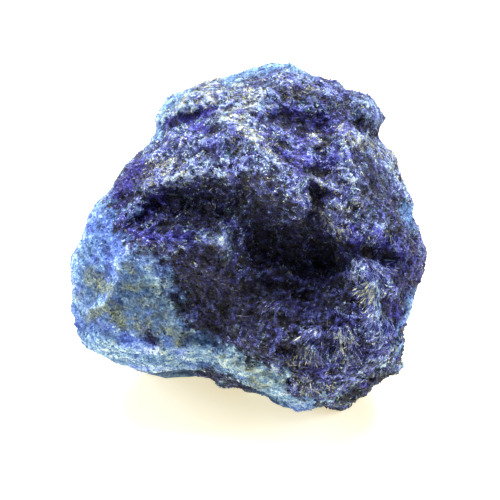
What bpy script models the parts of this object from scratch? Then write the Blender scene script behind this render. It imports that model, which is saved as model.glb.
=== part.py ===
"""A rough azurite specimen, 50 mm wide: one solid lump that lies on its worn underside.

The lump is drawn from its display face, the side that shows the crystals best. That face leans
back, and positions on it are (across, up) in millimetres from its middle. OUTLINE is the lump's
edge as that face shows it. A ball is stretched to the outline, and strokes then raise ridges and
ledges on it and press hollows and creases into it, the way a sculptor's tools would.
"""

import math

import bmesh
import bpy
import numpy as np
from mathutils import Vector, noise

MM = 0.001

# Driving dimensions, in millimetres and degrees.
FACE_LEAN = 30.0        # the display face looks this far above the horizon
MIDDLE_HEIGHT = 21.3    # the middle of the outline above the surface the lump rests on
FRONT_DEPTH = 20.5      # from the outline's plane to the front, before the strokes
BACK_DEPTH = 20.5       # and to the back
FULLNESS = 2.3          # 2 is an ellipse in section, and more is squarer
EDGE_FADE = 5.0         # strokes fade out this near the outline's plane

BALL_STEPS = 7          # 81920 triangles to sculpt
SKIN_VOXEL = 0.55       # the sculpted skin is evened out to this
FACES_LEFT = 10400      # triangles that stay when the skin is simplified

# The edge of the lump on its display face, anticlockwise from the right.
OUTLINE = [
    (23.9, 0.0), (22.8, 4.0), (21.4, 7.8), (19.9, 11.5), (17.8, 13.9), (18.6, 16.2),
    (18.6, 18.0), (17.6, 19.5), (14.6, 20.3), (12.6, 22.2), (8.4, 22.7), (7.0, 23.8),
    (4.6, 24.5), (1.7, 23.7), (-3.9, 21.8), (-8.4, 20.7), (-11.9, 19.0), (-13.4, 16.7),
    (-13.3, 14.1), (-15.2, 11.8), (-17.5, 10.2), (-18.9, 8.4), (-19.8, 6.3), (-21.8, 3.9),
    (-23.8, 0.0), (-25.2, -4.5), (-24.9, -9.1), (-24.2, -14.0), (-22.4, -15.9), (-17.5, -18.1),
    (-14.2, -19.9), (-11.2, -18.8), (-7.8, -18.7), (-3.4, -20.9), (0.0, -21.6), (2.8, -22.8),
    (8.6, -24.7), (13.3, -23.6), (17.4, -20.9), (20.5, -18.9), (22.0, -15.8), (22.9, -12.2),
    (23.3, -7.2), (24.4, -5.2), (24.9, -2.8),
]

# Each stroke is (name, path, height, reach on its left, reach on its right, crispness). A stroke
# from left to right has its upper side on its left. A reach is where the height has fallen to a
# third, and crispness 1 is a knife edge, 2 a smooth swell.
FRONT_STROKES = [
    # The crown, with the fold that parts it from the shoulder.
    ("crown lobe", [(-12.4, 17.0), (-9.0, 18.6), (-3.5, 19.9)], 2.0, 2.4, 1.6, 2.0),
    ("crown fold", [(-12.4, 15.3), (-9.8, 15.7), (-7.0, 16.3), (-4.6, 17.3)], -2.8, 0.7, 0.8, 1.5),
    ("crown hollow", [(2.4, 15.8), (6.0, 15.4), (9.4, 15.4)], -2.2, 1.3, 1.7, 1.9),
    ("crown crest", [(1.0, 19.4), (5.0, 20.6), (11.0, 19.4)], 0.9, 1.4, 1.8, 1.4),
    ("crown pit", [(-6.8, 14.9), (-5.9, 14.6)], -1.1, 1.0, 0.9, 2.0),
    ("knob", [(15.6, 18.2), (17.0, 17.2)], 3.2, 2.4, 2.4, 2.0),
    ("knob valley", [(12.6, 20.0), (13.2, 17.6), (13.8, 16.4)], -1.2, 1.0, 1.0, 1.5),
    ("knob notch", [(14.8, 15.4), (16.6, 14.5), (18.4, 14.1)], -3.2, 0.7, 1.0, 1.5),
    # The shoulder, a terrace that looks up, with the brow along its lower edge.
    ("shoulder", [(-11.0, 11.0), (-5.0, 12.4), (0.0, 13.0)], 1.6, 4.0, 3.4, 2.0),
    ("shoulder's upper edge", [(-14.4, 11.4), (-11.4, 13.5), (-7.4, 14.6), (-3.4, 16.0)],
     1.2, 0.8, 2.4, 1.4),
    ("shoulder fold", [(-12.0, 12.8), (-7.0, 11.6), (-1.0, 12.4)], -0.8, 0.8, 0.9, 1.5),
    ("brow", [(-14.4, 6.5), (-9.4, 7.6), (-3.4, 7.6), (0.8, 7.0), (3.6, 5.0), (7.4, 3.6)],
     3.8, 4.4, 0.9, 1.4),
    ("under the brow", [(-12.6, 4.0), (-6.0, 4.6), (-0.8, 4.2)], -2.8, 1.8, 2.3, 2.0),
    ("rib", [(-1.6, 14.6), (2.2, 10.6), (5.6, 7.2), (7.4, 3.8)], 2.8, 1.5, 3.4, 1.4),
    ("pit above the gash", [(4.4, 12.6), (5.4, 12.2)], -1.6, 1.2, 1.0, 1.8),
    ("upper gash", [(9.6, 11.6), (9.9, 8.8)], -1.8, 0.8, 0.9, 1.6),
    ("ledge in the gash", [(8.8, 7.1), (11.8, 6.7)], 1.2, 0.5, 0.5, 1.4),
    ("gash", [(8.9, 5.6), (9.2, 3.6), (8.6, 2.0)], -4.2, 1.0, 1.1, 1.5),
    ("second crest", [(-14.0, -0.9), (-7.0, -1.0), (-3.6, -0.4)], 2.8, 1.5, 3.0, 1.5),
    ("rise to the rib", [(-3.6, -0.4), (-1.0, 3.4), (1.4, 6.6)], 2.2, 1.0, 1.7, 1.5),
    ("groove on the crest", [(-15.0, 2.0), (-9.5, 0.9), (-6.0, 1.6)], -1.1, 0.7, 0.8, 1.4),
    # The right block, whose lower edge overhangs the big hollow.
    ("right block", [(13.4, 9.0), (15.4, 6.0), (18.0, 3.0)], 3.0, 4.6, 4.2, 2.0),
    ("block crest", [(12.0, 13.0), (13.6, 8.6), (14.0, 4.4)], 1.2, 1.4, 1.0, 1.4),
    ("block pit", [(16.2, 8.6), (17.8, 6.8)], -1.3, 1.3, 1.3, 1.8),
    ("eave", [(10.2, 3.0), (11.6, 0.9), (14.0, -0.4), (16.6, -0.2)], 2.8, 2.2, 0.8, 1.4),
    ("right crease", [(13.0, -1.5), (16.2, -2.2), (19.2, -3.2)], -2.2, 0.9, 1.0, 1.5),
    ("right lobe", [(21.0, -1.4), (21.4, -3.6)], 3.0, 2.8, 2.8, 2.0),
    ("big hollow", [(1.8, -0.8), (5.4, -2.0), (9.8, -2.8)], -6.6, 2.9, 4.2, 2.2),
    ("hollow's deep end", [(1.4, -6.8), (7.4, -7.8)], -2.6, 1.8, 1.8, 2.0),
    ("hollow's back wall", [(3.4, 1.0), (8.6, 0.4)], -2.6, 1.4, 1.6, 2.0),
    # The front below the hollow, a swelling belly.
    ("belly", [(3.0, -14.4), (9.0, -14.8), (15.0, -14.6)], 3.8, 4.6, 6.0, 2.4),
    ("under the second crest", [(-8.6, -7.6), (-1.6, -9.4)], -2.2, 3.4, 4.2, 2.0),
    ("boss", [(15.0, -5.0), (16.8, -8.0), (18.8, -12.6)], 3.6, 2.0, 2.4, 1.8),
    ("boss rim", [(13.6, -5.6), (14.8, -4.2), (16.8, -3.8), (18.8, -5.2), (19.6, -7.4)],
     1.8, 0.9, 1.2, 1.5),
    ("under the boss rim", [(15.4, -6.6), (16.4, -8.8)], -1.4, 0.9, 0.9, 1.8),
    ("blue gash", [(19.2, -9.4), (20.4, -12.4)], -3.0, 0.9, 1.0, 1.5),
    ("belly fold", [(1.0, -10.4), (6.6, -11.6), (12.0, -11.8)], -1.3, 1.0, 1.1, 1.5),
    ("left pit", [(5.2, -14.9), (5.9, -15.3)], -1.6, 1.1, 1.1, 2.0),
    ("fan groove", [(11.4, -15.0), (10.9, -20.2)], -1.2, 0.6, 0.7, 1.5),
    ("side fan groove", [(14.6, -14.0), (15.8, -18.4)], -0.8, 0.6, 0.6, 1.5),
    ("near fan groove", [(8.2, -15.6), (6.6, -19.6)], -0.8, 0.6, 0.6, 1.5),
    # The pale left facet, and the lip of rind that runs along the bottom.
    ("left facet", [(-17.0, -9.0), (-12.0, -8.0)], -1.4, 4.6, 4.6, 2.6),
    ("facet ridge", [(-16.2, -1.6), (-18.2, -4.4), (-19.3, -7.0), (-20.0, -8.8)],
     1.8, 2.2, 1.0, 1.3),
    ("facet step", [(-23.4, -10.8), (-21.6, -10.0), (-19.6, -9.3)], 1.6, 2.2, 0.7, 1.2),
    ("facet hollow", [(-21.8, -6.8), (-20.4, -5.8)], -1.5, 1.7, 1.7, 2.0),
    ("violet facet", [(-14.4, 10.4), (-17.2, 6.4)], -2.1, 1.7, 1.7, 2.2),
    ("left layers", [(-13.6, 3.2), (-17.8, 0.4), (-21.0, -3.2)], -1.2, 0.8, 0.9, 1.4),
    ("outer left layers", [(-17.0, 4.2), (-20.2, 1.2), (-22.6, -2.2)], -0.9, 0.7, 0.8, 1.4),
    ("lip", [(-22.4, -14.0), (-17.3, -15.6), (-10.4, -15.6), (-5.8, -15.8), (-1.6, -17.9),
             (3.2, -20.6), (8.2, -22.6), (11.2, -22.2), (14.0, -20.0), (17.8, -17.2)],
     2.1, 0.7, 1.4, 1.5),
    ("above the lip", [(-8.0, -13.6), (-1.4, -15.8), (4.4, -18.8)], -0.7, 1.2, 1.2, 2.0),
    ("under the lip", [(-7.4, -17.8), (-2.6, -19.8)], -1.8, 1.0, 1.0, 1.8),
]

# The back, seen from behind: across runs to that viewer's right, which is the lump's left.
BACK_STROKES = [
    ("back ridge", [(-16.0, 7.0), (-5.0, 10.5), (6.0, 6.0), (15.0, 9.0)], 4.2, 4.4, 1.6, 1.3),
    ("back hollow", [(-9.0, 0.5), (-3.0, 4.0), (4.0, 1.0)], -4.6, 3.0, 3.8, 2.0),
    ("back crease", [(2.0, 19.0), (4.0, 11.0), (10.0, 3.0)], -3.2, 1.3, 1.2, 1.5),
    ("left buttress", [(-17.0, -2.0), (-14.0, -10.0)], 2.6, 3.4, 3.0, 1.8),
    ("right buttress", [(14.0, 0.0), (17.0, -9.0)], 2.4, 3.6, 2.6, 1.8),
    ("back step", [(-15.0, -7.0), (-6.0, -9.0), (3.0, -5.6), (12.0, -8.0)], 3.4, 3.4, 1.0, 1.4),
    ("upper back step", [(-14.0, 14.0), (-6.0, 16.6), (1.0, 15.0)], 1.6, 3.0, 0.9, 1.4),
    ("upper back pit", [(9.0, 14.0), (10.6, 15.0)], -2.4, 1.7, 1.7, 2.0),
    ("lower back pit", [(-6.0, -6.4), (-3.6, -7.0)], -1.8, 1.5, 1.5, 2.0),
    ("side pit", [(-14.6, 5.0), (-13.8, 3.4)], -1.6, 1.4, 1.4, 2.0),
]

# Flat breaks: (how far the break lies from the middle, the way it faces in degrees round from the
# front through the right, and the degrees above the horizon that it faces).
BREAKS = [
    (21.6, 150.0, 38.0), (20.4, 208.0, 26.0), (20.9, 250.0, 34.0), (20.6, 110.0, -28.0),
    (20.8, 236.0, -34.0), (22.4, 172.0, 8.0),
]
BREAK_SHARE = 0.75      # how much of what stands beyond a break is pressed back

# The underside swells down to the surface here: (x, y, reach in x, reach in y, depth).
FEET = [(-9.0, 6.0, 9.0, 7.4, 5.0), (9.0, 2.0, 9.0, 9.0, 3.5), (-4.0, 12.0, 8.0, 6.0, 4.0)]
FOOT_TOP = 12.0         # only what is lower than this moves down

# Roughness all over: (size of the crags, height), coarse to fine.
CRAGS = [(9.0, 0.9), (4.0, 0.6), (2.0, 0.3)]
# The rind on the back grows in rounded knobs of two sizes: (size, height).
KNOBS = [(8.0, 3.4), (4.2, 1.5)]
KNOB_FADE = 9.0         # the knobs rise to full height this far behind the outline's plane
# The granular crust along the lower right edge: its line on the face, reach, grain size, height.
GRAIN_LINE = [(12.0, -23.2), (16.0, -21.4), (19.4, -18.6), (21.4, -14.6)]
GRAIN_REACH, GRAIN_SIZE, GRAIN_HEIGHT = 3.0, 2.4, 1.4


def face_axes():
    """The display face's own right, up and outward directions, as the rows of a matrix."""
    lean = math.radians(FACE_LEAN)
    return np.array([
        (1.0, 0.0, 0.0),
        (0.0, math.sin(lean), math.cos(lean)),
        (0.0, -math.cos(lean), math.sin(lean)),
    ])


def outline_radius(angle):
    """How far the outline lies from its middle in each direction."""
    points = np.array(OUTLINE)
    turn = np.arctan2(points[:, 1], points[:, 0])
    radius = np.hypot(points[:, 0], points[:, 1])
    return np.interp(angle, *np.array(sorted(zip(turn, radius))).T, period=2 * math.pi)


def smooth_step(value):
    """0 below 0, 1 above 1, and a smooth rise between."""
    share = np.clip(value, 0.0, 1.0)
    return share * share * (3.0 - 2.0 * share)


def path_distance(points, path):
    """The distance of each point from a path, and whether it lies on the path's left."""
    nearest = np.full(len(points), np.inf)
    left = np.zeros(len(points), bool)
    for start, end in zip(np.array(path[:-1]), np.array(path[1:])):
        along = end - start
        offset = points - start
        share = np.clip(offset @ along / (along @ along), 0.0, 1.0)
        away = np.linalg.norm(offset - share[:, None] * along, axis=1)
        closer = away < nearest
        nearest[closer] = away[closer]
        left[closer] = (along[0] * offset[:, 1] - along[1] * offset[:, 0] > 0)[closer]
    return nearest, left


def stroke_heights(points, strokes):
    """The summed height of all strokes at each point of a face."""
    total = np.zeros(len(points))
    for _name, path, height, left_reach, right_reach, crispness in strokes:
        away, left = path_distance(points, path)
        reach = np.where(left, left_reach, right_reach)
        total += height * np.exp(-((away / reach) ** crispness))
    return total


def stretched_ball(directions):
    """The plain lump: a ball drawn out to the outline and to its depths, in face coordinates."""
    across, up, out = directions.T
    flat = np.hypot(across, up)
    full = (flat ** FULLNESS + np.abs(out) ** FULLNESS) ** (-1.0 / FULLNESS)
    radius = outline_radius(np.arctan2(up, across)) * full
    depth = np.where(out > 0, FRONT_DEPTH, BACK_DEPTH) * full
    return np.column_stack((across * radius, up * radius, out * depth))


def add_strokes(face_points):
    """Moves the front along the face's outward direction, and the back the other way."""
    across, up, out = face_points.T
    front = stroke_heights(np.column_stack((across, up)), FRONT_STROKES)
    back = stroke_heights(np.column_stack((-across, up)), BACK_STROKES)
    face_points[:, 2] += front * smooth_step(out / EDGE_FADE)
    face_points[:, 2] -= back * smooth_step(-out / EDGE_FADE)


def add_knobs(face_points, share, size, height):
    """Raises rounded knobs with creases between them, as high as each point's share says."""
    outward = face_points / np.linalg.norm(face_points, axis=1)[:, None]
    start = face_points / size
    for index in np.flatnonzero(share > 0.02):
        nearest = noise.voronoi(Vector(start[index]))[0][0]
        face_points[index] += outward[index] * height * share[index] * (0.6 - nearest)


def add_crusts(face_points):
    """The knobs of the rind on the back, and the grains along the lower right edge."""
    behind = smooth_step(-face_points[:, 2] / KNOB_FADE)
    for size, height in KNOBS:
        add_knobs(face_points, behind, size, height)
    away, _left = path_distance(face_points[:, :2], GRAIN_LINE)
    add_knobs(face_points, np.exp(-((away / GRAIN_REACH) ** 2)), GRAIN_SIZE, GRAIN_HEIGHT)


def break_flat(points, middle):
    """Presses what stands beyond each flat break back to its plane."""
    for distance, heading, rise in BREAKS:
        turn, tilt = math.radians(heading), math.radians(rise)
        facing = np.array([
            math.sin(turn) * math.cos(tilt), -math.cos(turn) * math.cos(tilt), math.sin(tilt),
        ])
        beyond = (points - middle) @ facing - distance
        points -= np.outer(np.clip(beyond, 0.0, None) * BREAK_SHARE, facing)


def add_feet(points):
    """Swells the underside down, so that the lump rests on a broad worn patch."""
    low = smooth_step((FOOT_TOP - points[:, 2]) / FOOT_TOP)
    for x, y, reach_x, reach_y, depth in FEET:
        away = ((points[:, 0] - x) / reach_x) ** 2 + ((points[:, 1] - y) / reach_y) ** 2
        points[:, 2] -= depth * low * np.exp(-away)


def add_crags(points, normals):
    """Roughens the surface with ridged lumps of several sizes."""
    for size, height in CRAGS:
        for index, point in enumerate(points):
            ridge = noise.ridged_multi_fractal(Vector(point) / size, 0.9, 2.1, 2, 1.0, 1.6)
            points[index] += normals[index] * height * (ridge - 1.1)


def vertex_array(mesh, attribute, scale=1.0):
    """A vertex attribute of three numbers as an array with one row for each vertex."""
    values = np.empty(len(mesh.vertices) * 3, np.float32)
    mesh.vertices.foreach_get(attribute, values)
    return values.reshape(-1, 3).astype(float) * scale


def move_vertices(mesh, points):
    """Puts the mesh's vertices at these points, given in millimetres."""
    mesh.vertices.foreach_set("co", (points * MM).astype(np.float32).ravel())
    mesh.update()


def sculpted_mesh():
    """The lump at full detail, resting height in place, its underside not yet worn flat."""
    shape = bmesh.new()
    bmesh.ops.create_icosphere(shape, subdivisions=BALL_STEPS, radius=1.0)
    mesh = bpy.data.meshes.new("azurite_specimen")
    shape.to_mesh(mesh)
    shape.free()
    face_points = stretched_ball(vertex_array(mesh, "co") @ face_axes().T)
    add_strokes(face_points)
    add_crusts(face_points)
    middle = np.array([0.0, 0.0, MIDDLE_HEIGHT])
    points = face_points @ face_axes() + middle
    break_flat(points, middle)
    add_feet(points)
    move_vertices(mesh, points)
    add_crags(points, vertex_array(mesh, "normal"))
    move_vertices(mesh, points)
    return mesh


def simplified_mesh(mesh, collection):
    """The same skin with even, fewer triangles, made by Remesh and Decimate."""
    sculpt = bpy.data.objects.new("sculpt", mesh)
    collection.objects.link(sculpt)
    skin = sculpt.modifiers.new("even skin", "REMESH")
    skin.mode = "VOXEL"
    skin.voxel_size = SKIN_VOXEL * MM
    graph = bpy.context.evaluated_depsgraph_get()
    faces = sum(len(face.vertices) - 2 for face in sculpt.evaluated_get(graph).data.polygons)
    fewer = sculpt.modifiers.new("fewer faces", "DECIMATE")
    fewer.ratio = FACES_LEFT / faces
    graph = bpy.context.evaluated_depsgraph_get()
    simple = bpy.data.meshes.new_from_object(sculpt.evaluated_get(graph))
    bpy.data.objects.remove(sculpt)
    return simple


def drop_crumbs(shape):
    """Keeps only the largest body, without the crumbs that a cut or a sealed pit leaves."""
    unseen = set(shape.faces)
    bodies = []
    while unseen:
        body = {unseen.pop()}
        edge_of_search = list(body)
        while edge_of_search:
            face = edge_of_search.pop()
            near = {other for edge in face.edges for other in edge.link_faces} & unseen
            unseen -= near
            body |= near
            edge_of_search.extend(near)
        bodies.append(body)
    crumbs = [face for body in sorted(bodies, key=len)[:-1] for face in body]
    bmesh.ops.delete(shape, geom=crumbs, context="FACES")


def wear_flat(mesh):
    """Cuts the underside flat at the surface that the lump rests on, and closes the cut."""
    shape = bmesh.new()
    shape.from_mesh(mesh)
    everything = shape.verts[:] + shape.edges[:] + shape.faces[:]
    cut = bmesh.ops.bisect_plane(
        shape, geom=everything, plane_co=(0, 0, 0), plane_no=(0, 0, 1), clear_inner=True,
    )
    rim = [part for part in cut["geom_cut"] if isinstance(part, bmesh.types.BMEdge)]
    bmesh.ops.holes_fill(shape, edges=rim)
    drop_crumbs(shape)
    bmesh.ops.recalc_face_normals(shape, faces=shape.faces)
    shape.to_mesh(mesh)
    shape.free()


def centre_on_origin(mesh):
    """Puts the middle of the lump's plan over the origin."""
    points = vertex_array(mesh, "co", 1.0 / MM)
    middle = (points.min(axis=0) + points.max(axis=0)) / 2
    points[:, :2] -= middle[:2]
    move_vertices(mesh, points)


def azurite_material():
    """Dark blue azurite, with the slight gloss of fine crystals."""
    material = bpy.data.materials.new("azurite")
    material.use_nodes = True
    shader = material.node_tree.nodes["Principled BSDF"]
    shader.inputs["Base Color"].default_value = (0.06, 0.07, 0.28, 1.0)
    shader.inputs["Roughness"].default_value = 0.55
    shader.inputs["Metallic"].default_value = 0.0
    return material


def main():
    for leftover in list(bpy.data.objects):
        bpy.data.objects.remove(leftover)
    collection = bpy.data.collections.new("azurite specimen")
    bpy.context.scene.collection.children.link(collection)
    mesh = simplified_mesh(sculpted_mesh(), collection)
    wear_flat(mesh)
    centre_on_origin(mesh)
    mesh.materials.append(azurite_material())
    lump = bpy.data.objects.new("azurite_specimen", mesh)
    collection.objects.link(lump)


main()
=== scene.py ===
import math

import bmesh
import bpy
import numpy as np
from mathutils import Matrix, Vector, bvhtree, kdtree, noise


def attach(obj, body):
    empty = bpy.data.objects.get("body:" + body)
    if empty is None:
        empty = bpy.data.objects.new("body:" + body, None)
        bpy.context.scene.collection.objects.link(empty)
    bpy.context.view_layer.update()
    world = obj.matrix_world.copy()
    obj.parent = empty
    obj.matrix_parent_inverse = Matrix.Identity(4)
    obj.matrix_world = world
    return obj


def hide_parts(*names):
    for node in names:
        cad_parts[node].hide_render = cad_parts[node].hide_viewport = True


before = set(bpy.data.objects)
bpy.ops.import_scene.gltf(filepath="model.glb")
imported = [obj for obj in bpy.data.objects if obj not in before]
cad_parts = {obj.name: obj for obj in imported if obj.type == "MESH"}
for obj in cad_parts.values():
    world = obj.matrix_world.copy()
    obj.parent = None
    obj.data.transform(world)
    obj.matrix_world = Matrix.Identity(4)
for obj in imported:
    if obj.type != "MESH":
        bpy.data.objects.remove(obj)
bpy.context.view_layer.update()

MM = 0.001
NODE = "azurite_specimen"

# The display face: positions on it are (across, up) in millimetres from its middle, and the
# third face coordinate is how far a point stands out of the outline's plane.
FACE_LEAN = 30.0
FACE_MIDDLE = (0.29, 0.77, 21.3)


def face_axes():
    """The display face's own right, up and outward directions, as the rows of a matrix."""
    lean = math.radians(FACE_LEAN)
    return np.array([
        (1.0, 0.0, 0.0),
        (0.0, math.sin(lean), math.cos(lean)),
        (0.0, -math.cos(lean), math.sin(lean)),
    ])


# ---- Where each finish lies on the display face ------------------------------------------

# A stroke is (path, reach in mm, strength): its finish is strongest along the path and fades
# out over the reach.

# The pale rind covers everything left of and below this line, and the whole back.
RIND_EDGE = [
    (-26.0, 14.0), (-19.6, 10.0), (-18.6, 6.4), (-19.0, 3.8), (-18.4, 1.2), (-17.2, -1.4),
    (-14.0, -2.4), (-11.8, -3.6), (-10.8, -6.6), (-9.0, -9.8), (-7.6, -12.6), (-5.6, -14.0),
    (-1.6, -15.9), (0.6, -17.2), (3.0, -18.3), (4.8, -19.8), (6.0, -21.6), (8.4, -22.3),
    (11.2, -22.4), (12.6, -26.0),
]
RIND_BEHIND = -1.5      # the rind takes over this far behind the outline's plane
RIND_BLEND = 1.1        # how soft its edge is
# Rind that stands on the display face's rim: (path, reach in mm).
RIND_RIMS = [
    ([(-13.2, 14.4), (-15.2, 12.2), (-17.0, 10.4)], 0.7),
    ([(-13.4, 14.6), (-12.6, 17.6), (-9.0, 20.6)], 1.3),
    ([(-3.0, 22.0), (4.0, 24.4), (9.0, 23.2)], 1.3),
    ([(-18.8, 7.8), (-20.6, 5.4), (-22.6, 2.4)], 1.3),
    ([(21.8, 3.4), (22.2, 1.8)], 1.1),
    ([(-9.6, -13.6), (-6.6, -14.7), (-4.2, -15.7)], 0.9),
    ([(23.0, -9.2), (22.2, -12.2), (21.1, -15.0)], 1.5),
    ([(16.7, -7.2), (17.1, -9.6), (17.1, -12.6)], 0.6),
]
# Dark crystals that break through the rind: (path, reach in mm).
RIND_GAPS = [
    ([(-6.0, -19.2), (-3.4, -20.0), (-0.6, -21.0)], 0.9),
    ([(-15.2, 10.2), (-17.2, 7.0)], 1.8),
    ([(-13.8, -13.6), (-13.0, -14.4)], 0.7),
]
# Crystals and crumbs of rind side by side.
MIXED = [
    ([(-19.6, 4.6), (-16.6, 3.4), (-14.0, 2.6)], 2.0, 0.9),
    ([(-18.0, 0.6), (-16.0, -1.4), (-13.4, -2.8)], 1.2, 0.8),
    ([(-12.0, -4.4), (-9.8, -8.0), (-8.2, -11.6)], 1.7, 0.8),
]

# Crystals frosted pale. Part of it is painted highlight, standing in for glints and lit faces as
# along the rib, and painted light that lifts the shade under the brow.
FROSTED_AND_LIT = [
    ([(-11.5, 11.8), (-7.0, 12.0), (0.0, 12.6)], 2.4, 0.75),
    ([(-13.0, 7.4), (-11.5, 8.2), (-9.0, 8.8), (-4.0, 9.2), (0.6, 9.6)], 1.6, 1.2),
    ([(-10.0, 18.2), (-7.0, 19.2), (-2.1, 19.4), (1.7, 18.6)], 2.1, 1.7),
    ([(-12.0, 17.0), (-9.0, 18.0), (-5.0, 18.8)], 1.0, 1.2),
    ([(-4.6, 17.8), (-2.0, 15.8), (0.8, 14.0)], 2.0, 1.3),
    ([(-15.0, 11.8), (-11.8, 13.8), (-8.2, 15.0), (-4.6, 16.8)], 1.2, 1.1),
    ([(-14.8, 11.6), (-12.6, 10.6), (-11.0, 10.2)], 1.4, 0.9),
    ([(-9.0, 5.6), (-3.0, 5.0)], 2.0, 0.35),
    ([(-3.4, 4.0), (-1.4, -0.6)], 1.6, 0.4),
    ([(9.0, 16.8), (12.2, 15.6)], 1.4, 0.6),
    ([(-1.6, 14.6), (2.2, 10.8), (5.2, 7.6), (6.2, 5.8)], 2.0, 0.8),
    ([(1.7, 16.2), (3.8, 14.0), (6.3, 12.4)], 1.0, 0.8),
    ([(6.0, 11.6), (9.0, 11.0), (13.0, 10.6)], 1.5, 0.9),
    ([(8.4, 13.2), (9.4, 12.6)], 0.8, 1.0),
    ([(13.6, 4.6), (12.4, 0.6)], 1.6, 0.5),
    ([(12.4, 14.4), (14.0, 13.0)], 1.0, 0.8),
    ([(6.4, 18.0), (8.4, 18.4)], 1.2, 0.5),
    ([(22.6, 2.0), (23.8, -1.6)], 1.2, 0.6),
    ([(12.8, 11.4), (13.6, 7.0), (13.4, 4.0)], 2.4, 0.75),
    ([(14.0, 13.4), (17.5, 12.2), (20.0, 10.0), (21.0, 6.6)], 1.9, 1.1),
    ([(13.0, 3.4), (15.0, 3.0), (16.6, 1.6)], 1.8, 0.8),
    ([(18.2, -0.8), (20.4, -2.4)], 1.2, 0.9),
    ([(9.6, 2.4), (11.6, 1.0), (13.6, -0.2)], 0.8, 0.9),
    ([(8.8, 7.2), (11.8, 6.8)], 0.5, 1.0),
    ([(11.4, 6.0), (13.4, 1.8)], 1.6, 0.7),
    ([(14.6, -4.4), (16.2, -5.8), (17.2, -7.6)], 1.6, 1.1),
    ([(17.0, -4.0), (18.6, -6.0), (19.6, -8.6)], 1.0, 0.7),
    ([(16.3, -7.0), (16.7, -10.0), (17.2, -14.4)], 0.9, 0.9),
    ([(12.4, -9.4), (12.8, -12.0)], 1.0, 0.5),
    ([(7.0, -7.8), (8.4, -7.6)], 0.8, 0.5),
    ([(-12.4, 13.0), (-11.2, 12.4)], 1.0, 0.7),
    ([(16.0, -11.6), (18.2, -14.0), (17.4, -17.0)], 2.0, 0.7),
    ([(11.0, -16.0), (13.0, -18.6)], 1.4, 0.6),
    ([(14.6, -10.2), (14.2, -14.6)], 1.6, 0.6),
    ([(19.8, -17.4), (21.0, -18.2)], 1.2, 0.9),
    ([(10.4, -22.3), (13.3, -20.2), (16.5, -17.8), (19.6, -15.6)], 0.9, 1.6),
    ([(6.6, -20.4), (9.0, -20.6), (12.0, -19.4)], 1.6, 0.6),
    ([(7.0, -14.6), (9.6, -17.6)], 1.8, 0.4),
    ([(-17.0, 3.4), (-14.0, 2.6)], 1.4, 0.7),
    ([(-12.0, -0.4), (-7.6, -0.2)], 1.0, 0.3),
    ([(-6.4, -0.1), (-2.8, -1.1)], 1.3, 0.7),
    ([(-13.4, -3.6), (-9.6, -1.4), (-6.6, -0.8)], 0.9, 0.6),
    ([(-3.4, 0.6), (-0.8, 4.0), (1.4, 7.2)], 1.2, 0.25),
    ([(3.0, 21.6), (8.0, 21.6), (12.0, 19.8)], 1.8, 0.7),
    ([(13.3, 19.0), (14.0, 15.6)], 1.2, 0.6),
    ([(15.4, 18.4), (17.2, 16.6)], 2.2, 0.7),
    ([(-3.2, 13.0), (-1.8, 12.2), (0.6, 11.6)], 1.1, 1.1),
    ([(10.6, 10.2), (11.8, 9.4)], 1.2, 1.0),
    ([(5.2, 18.4), (7.2, 17.6)], 1.0, 0.8),
    ([(-9.6, 17.8), (-8.4, 17.4)], 1.0, 0.9),
    ([(16.6, 12.4), (18.2, 11.6)], 1.0, 0.5),
    ([(7.8, 7.0), (8.8, 6.2)], 0.8, 0.7),
    ([(3.4, -18.0), (5.6, -19.8), (6.8, -21.6)], 0.9, 0.8),
    ([(11.4, -23.4), (14.6, -23.6)], 0.8, 1.0),
    ([(-13.8, 6.2), (-16.4, 2.6)], 1.0, 0.5),
]
# Bleached rind, and painted light where the lip's rind faces down into shade.
BLEACHED_AND_LIT = [
    ([(-21.0, -15.6), (-17.3, -16.6), (-10.4, -16.4), (-5.8, -16.0), (-1.6, -17.6),
      (2.0, -19.7), (5.6, -21.8)], 1.9, 0.75),
    # Painted light on the lip, which faces down and forward into shade.
    ([(-2.0, -17.0), (1.6, -18.4), (4.2, -20.2)], 2.0, 1.6),
    ([(5.6, -21.8), (9.0, -23.2), (11.0, -23.0)], 1.4, 0.8),
    # Painted light on the lip's shaded underside.
    ([(-14.8, -18.0), (-10.4, -18.8), (-6.6, -19.0), (-2.4, -20.2), (1.2, -21.8)], 1.4, 1.0),
    ([(2.6, -20.4), (5.4, -22.2), (8.4, -23.6)], 1.2, 0.7),
    ([(-13.4, 14.6), (-15.0, 12.2), (-16.6, 10.6)], 1.1, 0.7),
    ([(-14.0, -5.6), (-10.4, -9.6), (-9.2, -10.8)], 2.1, 0.65),
    ([(-18.6, -12.6), (-15.6, -13.6)], 1.1, 0.6),
    ([(-13.4, -3.6), (-9.6, -1.4), (-6.6, -0.8)], 0.9, 0.6),
    ([(-23.8, 0.6), (-24.9, -5.0), (-24.6, -10.0)], 1.6, 0.6),
    ([(-16.2, -1.6), (-18.2, -4.4), (-19.3, -7.0), (-20.0, -8.6)], 0.8, 0.7),
    ([(-23.4, -10.6), (-21.6, -9.8), (-19.8, -9.2)], 0.5, 0.7),
    ([(-18.8, 7.8), (-20.6, 5.4), (-22.6, 2.4)], 1.3, 0.4),
    ([(-13.2, 14.4), (-12.0, 17.6), (-9.0, 20.2)], 1.5, 0.6),
    ([(-9.0, 20.2), (-2.0, 22.0), (4.0, 24.0)], 1.0, 0.4),
    ([(22.8, -9.4), (22.1, -12.4), (21.0, -15.0)], 1.5, 0.4),
    ([(16.7, -7.2), (17.1, -9.6), (17.1, -12.6)], 0.8, 0.9),
]
# Deep furrows in the crystal mat.
FURROWED = [
    ([(6.0, -10.0), (6.0, -17.0)], 4.0, 1.0),
    ([(13.0, -9.0), (14.0, -17.0)], 4.0, 1.0),
    ([(-14.0, 3.6), (-12.0, -0.6)], 3.0, 0.8),
]
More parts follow.
